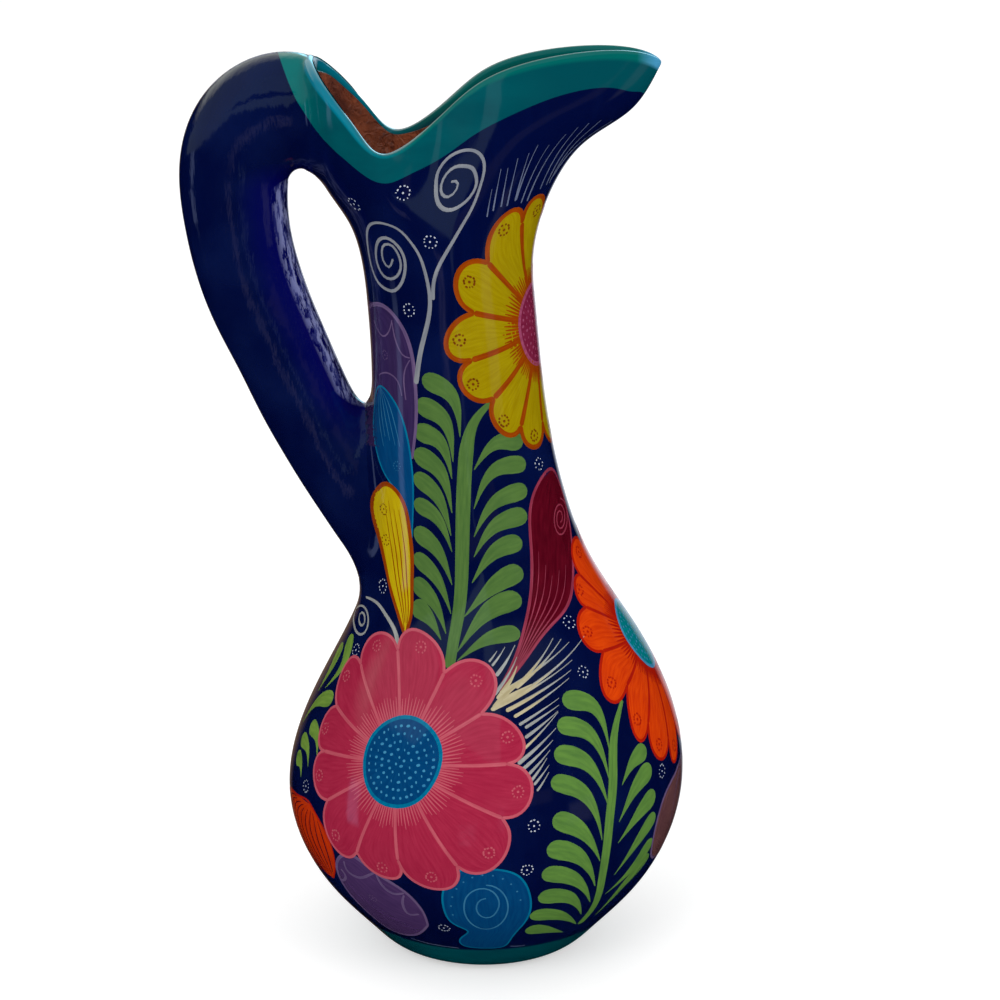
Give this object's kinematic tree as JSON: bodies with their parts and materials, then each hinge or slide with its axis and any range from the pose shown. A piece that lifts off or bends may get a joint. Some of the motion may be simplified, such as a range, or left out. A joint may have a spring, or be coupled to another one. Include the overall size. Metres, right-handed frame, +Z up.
{
  "type": "terracotta jug",
  "caption": "Tall painted terracotta jug: round belly on a flat foot, slender leaning neck, leaf-shaped mouth with a long spout and a looped handle.",
  "frame": {"origin": "centre of the flat foot, on the surface the jug stands on", "axes": "+Z up through the body; +X towards the spout, so that the handle stands at -X; Y across, with the jug's clay form alike on both sides of the XZ plane"},
  "size_m": [0.1935, 0.1558, 0.3549],
  "materials": {
    "cobalt_paint": "glossy varnished paint on terracotta",
    "teal_paint": "glossy varnished paint on terracotta"
  },
  "bodies": {
    "root": {"foot_disc": "teal_paint", "lower_bowl": "cobalt_paint", "upper_bowl": "cobalt_paint", "neck": "cobalt_paint", "mouth": "teal_paint", "handle": "cobalt_paint"}
  },
  "joints": []
}
